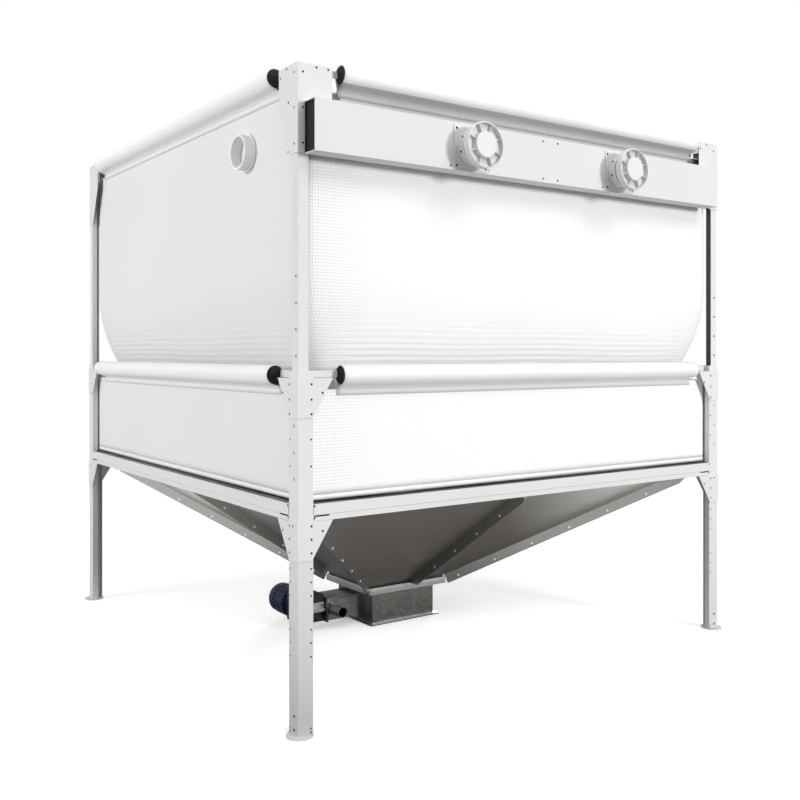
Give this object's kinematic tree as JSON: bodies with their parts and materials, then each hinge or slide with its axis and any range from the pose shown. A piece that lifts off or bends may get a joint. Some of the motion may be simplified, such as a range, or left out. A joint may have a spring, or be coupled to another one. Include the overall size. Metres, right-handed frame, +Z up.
{
  "type": "pellet storage tank",
  "caption": "Square steel stand on corner posts carrying a cloth pellet bag with a filling fascia over a flanged sheet hopper with an auger discharge.",
  "frame": {"origin": "on the floor at the middle of the square stand, the centre of the trough cover's underside", "axes": "+Z up, -Y out of the filling side with its two couplings, -X out of the side with the drive"},
  "size_m": [2.1486, 2.2741, 2.132],
  "materials": {
    "white_powder_coat": "satin",
    "galvanised_sheet": "satin",
    "white_cloth": "matte",
    "white_plastic": "matte",
    "cast_aluminium": "satin",
    "dark_casting": "matte",
    "navy_enamel": "satin"
  },
  "bodies": {
    "stand": {"lower_post_front_left": "white_powder_coat", "lower_post_front_right": "white_powder_coat", "lower_post_back_right": "white_powder_coat", "lower_post_back_left": "white_powder_coat", "foot_plate_front_left": "white_powder_coat", "foot_plate_front_right": "white_powder_coat", "foot_plate_back_right": "white_powder_coat", "foot_plate_back_left": "white_powder_coat", "bottom_beam_front": "white_powder_coat", "bottom_beam_right": "white_powder_coat", "bottom_beam_back": "white_powder_coat", "bottom_beam_left": "white_powder_coat", "bottom_bracket_front_left": "white_powder_coat", "bottom_bracket_front_right": "white_powder_coat", "bottom_bracket_back_right": "white_powder_coat", "bottom_bracket_back_left": "white_powder_coat", "mid_bracket_front_left": "white_powder_coat", "mid_bracket_front_right": "white_powder_coat", "mid_bracket_back_right": "white_powder_coat", "mid_bracket_back_left": "white_powder_coat", "mid_rail_front": "white_powder_coat", "mid_rail_right": "white_powder_coat", "mid_rail_back": "white_powder_coat", "mid_rail_left": "white_powder_coat", "lower_skirt": "white_cloth", "hopper_sheet_front_a": "galvanised_sheet", "hopper_sheet_front_b": "galvanised_sheet", "hopper_sheet_right_a": "galvanised_sheet", "hopper_sheet_right_b": "galvanised_sheet", "hopper_sheet_back_a": "galvanised_sheet", "hopper_sheet_back_b": "galvanised_sheet", "hopper_sheet_left_a": "galvanised_sheet", "hopper_sheet_left_b": "galvanised_sheet", "trough": "galvanised_sheet", "trough_cover": "galvanised_sheet", "pickup_box": "galvanised_sheet", "gearbox": "dark_casting", "motor": "navy_enamel"},
    "upper_frame": {"upper_post_front_left": "white_powder_coat", "upper_post_front_right": "white_powder_coat", "upper_post_back_right": "white_powder_coat", "upper_post_back_left": "white_powder_coat", "head_bracket_front_left": "white_powder_coat", "head_bracket_front_right": "white_powder_coat", "head_bracket_back_right": "white_powder_coat", "head_bracket_back_left": "white_powder_coat", "top_rail_front": "white_powder_coat", "top_rail_right": "white_powder_coat", "top_rail_back": "white_powder_coat", "top_rail_left": "white_powder_coat", "upper_bag": "white_cloth", "fascia": "white_powder_coat", "filler_pipe_left": "cast_aluminium", "filler_pipe_right": "cast_aluminium", "port_collar": "white_plastic"},
    "auger": {"auger": "galvanised_sheet"},
    "seal_left": {"sealing_disc_left": "cast_aluminium"},
    "cap_left": {"turning_cap_left": "cast_aluminium"},
    "seal_right": {"sealing_disc_right": "cast_aluminium"},
    "cap_right": {"turning_cap_right": "cast_aluminium"}
  },
  "joints": [
    {"name": "upper_frame_raise", "type": "slide", "parent": "stand", "child": "upper_frame", "axis": [0, 0, 1], "range_m": [-0.168, 0.084]},
    {"name": "auger_spin", "type": "hinge", "parent": "stand", "child": "auger", "pos_m": [0, 0, 0.085], "axis": [-1, 0, 0], "continuous": true},
    {"name": "cap_pull_left", "type": "slide", "parent": "upper_frame", "child": "seal_left", "axis": [0, -1, 0], "range_m": [0, 0.12]},
    {"name": "cap_turn_left", "type": "hinge", "parent": "seal_left", "child": "cap_left", "pos_m": [-0.40375, -1.175, 1.91], "axis": [0, -1, 0], "range_deg": [0, 75]},
    {"name": "cap_pull_right", "type": "slide", "parent": "upper_frame", "child": "seal_right", "axis": [0, -1, 0], "range_m": [0, 0.12]},
    {"name": "cap_turn_right", "type": "hinge", "parent": "seal_right", "child": "cap_right", "pos_m": [0.34075, -1.175, 1.91], "axis": [0, -1, 0], "range_deg": [0, 75]}
  ]
}
